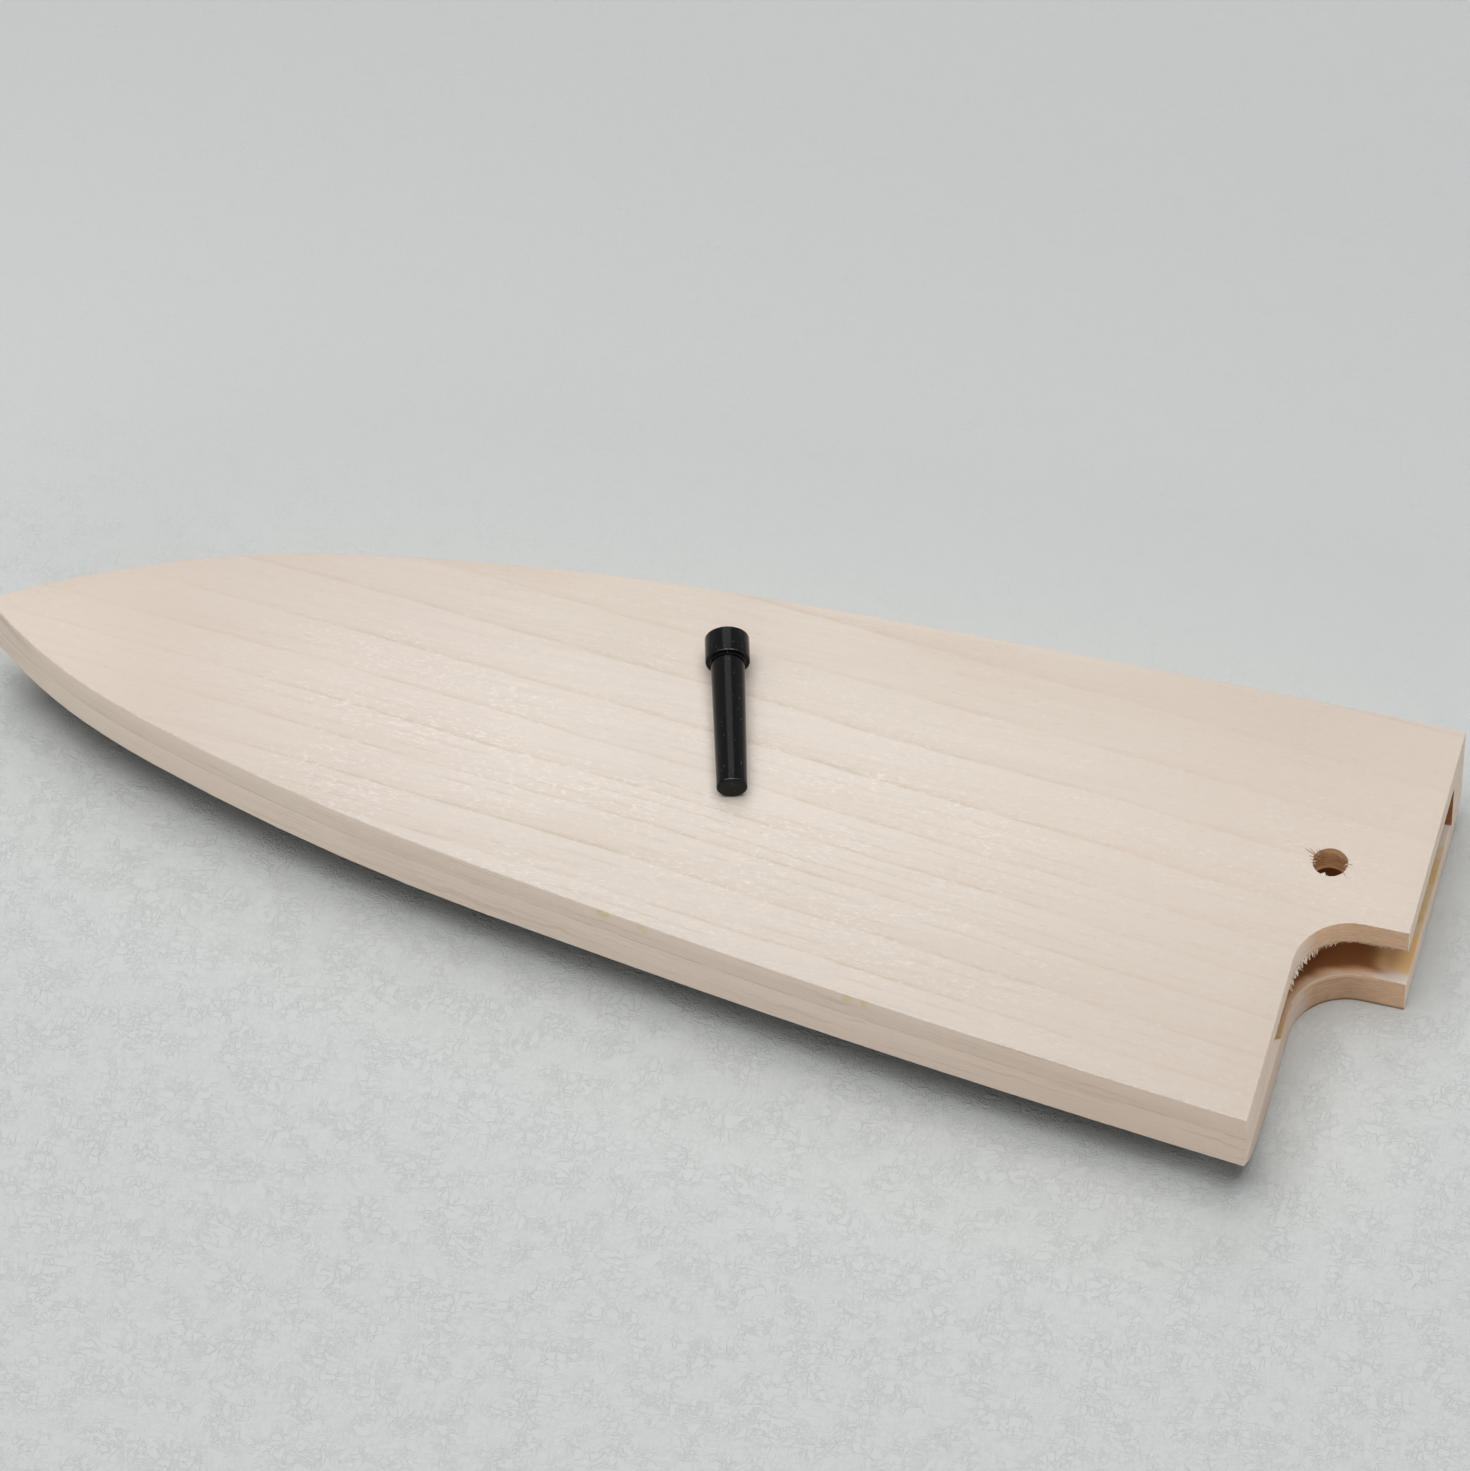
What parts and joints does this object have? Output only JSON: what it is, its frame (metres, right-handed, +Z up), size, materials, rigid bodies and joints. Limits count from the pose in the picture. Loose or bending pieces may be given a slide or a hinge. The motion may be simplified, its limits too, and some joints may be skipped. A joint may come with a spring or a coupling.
{
  "type": "knife blade guard",
  "caption": "Flat wooden sheath for a broad kitchen knife: a tapering case of glued halves with a pocket for the blade, a stepped open end, a peg hole and a loose black peg.",
  "frame": {"origin": "under the middle of the outline, on the surface that the guard lies on", "axes": "+X to the open heel end, +Y to the side over the blade's spine, +Z up from the rounded half to the flat half"},
  "size_m": [0.211, 0.075, 0.0247],
  "materials": {
    "flat_wood": "planed and sanded, bare",
    "carved_wood": "sanded outside, chiselled in the pocket, bare",
    "peg_black": "semi-gloss"
  },
  "bodies": {
    "guard": {"flat_half": "flat_wood", "carved_half": "carved_wood"},
    "loose_peg": {"peg": "peg_black"}
  },
  "joints": [
    {"name": "peg_lift", "type": "slide", "parent": "guard", "child": "loose_peg", "axis": [0, 0, 1], "range_m": [0, 0.06]}
  ]
}
